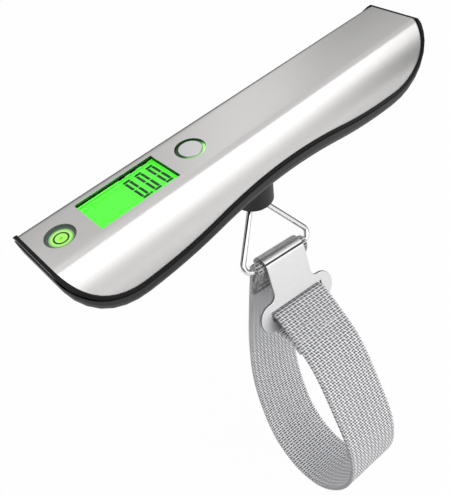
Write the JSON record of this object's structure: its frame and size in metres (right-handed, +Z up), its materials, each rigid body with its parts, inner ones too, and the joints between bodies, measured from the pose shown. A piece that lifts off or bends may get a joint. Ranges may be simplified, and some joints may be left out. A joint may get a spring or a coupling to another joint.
{
  "type": "digital luggage scale",
  "caption": "Hand-held hanging scale: brushed steel bar over black shells, lit display, bull's-eye level and button, with a hook eye, triangle ring and webbing strap loop below.",
  "frame": {"origin": "centre of the flat steel top", "axes": "+X along the body away from the display end, +Y away from the side that the picture shows, +Z up out of the flat top, against the load"},
  "size_m": [0.1572, 0.0871, 0.1604],
  "materials": {
    "cover_steel": "brushed along the body",
    "black_plastic": "satin",
    "lens": "clear, lit green",
    "lcd_green": "lit green",
    "white_plastic": "plain",
    "grey_rubber": "plain",
    "vial_clear": "clear",
    "fluid_lime": "clear",
    "dark_plastic": "plain",
    "light_ring": "lit green",
    "button_silver": "silver",
    "board_green": "solder mask",
    "cell_aluminium": "milled",
    "gauge_foil": "film",
    "zinc_steel": "zinc plated",
    "polished_steel": "polished",
    "satin_steel": "satin",
    "contact_brass": "plain",
    "webbing": "woven light grey with dark checks"
  },
  "bodies": {
    "housing": {"steel_cover": "cover_steel", "upper_frame": "black_plastic", "lower_housing": "black_plastic", "display_lens": "lens", "lcd_panel": "lcd_green", "backlight_panel": "white_plastic", "lcd_holder": "white_plastic", "zebra_strip": "grey_rubber", "level_vial": "vial_clear", "level_fluid": "fluid_lime", "level_plug": "dark_plastic", "button_light_ring": "light_ring", "tact_switch": "dark_plastic", "main_board": "board_green", "chip_blob": "dark_plastic", "board_screw_front": "zinc_steel", "board_screw_back": "zinc_steel", "load_cell": "cell_aluminium", "gauge_top": "gauge_foil", "gauge_bottom": "gauge_foil", "gauge_ribbon": "gauge_foil", "cell_screw_inner": "zinc_steel", "cell_screw_outer": "zinc_steel", "thrust_washer": "zinc_steel", "contact_centre": "contact_brass", "contact_edge": "contact_brass", "case_screw_1": "zinc_steel", "case_screw_2": "zinc_steel", "case_screw_3": "zinc_steel", "case_screw_4": "zinc_steel"},
    "button": {"power_button": "button_silver", "switch_plunger": "dark_plastic"},
    "hook": {"load_hook": "polished_steel", "hook_nut": "zinc_steel"},
    "ring": {"triangle_ring": "polished_steel"},
    "strap_loop": {"strap": "webbing", "hook_plate": "satin_steel"},
    "door": {"battery_door": "black_plastic", "coin_cell": "zinc_steel"}
  },
  "joints": [
    {"name": "button_press", "type": "slide", "parent": "housing", "child": "button", "axis": [0, 0, -1], "range_m": [0, 0.0005], "stiffness_N_per_m": 800},
    {"name": "hook_swivel", "type": "hinge", "parent": "housing", "child": "hook", "pos_m": [0, 0, -0.0377], "axis": [0, 0, 1], "continuous": true},
    {"name": "ring_swing", "type": "hinge", "parent": "hook", "child": "ring", "pos_m": [0, 0, -0.0377], "axis": [0.9897, -0.0346, -0.1392], "range_deg": [-9, 81]},
    {"name": "strap_swing", "type": "hinge", "parent": "ring", "child": "strap_loop", "pos_m": [-0.00302, -0.01324, -0.05588], "axis": [0.9897, -0.0346, -0.1392], "range_deg": [-55, 25]},
    {"name": "door_twist", "type": "hinge", "parent": "housing", "child": "door", "pos_m": [-0.05, 0, -0.0267], "axis": [0, 0, 1], "range_deg": [0, 45]}
  ]
}
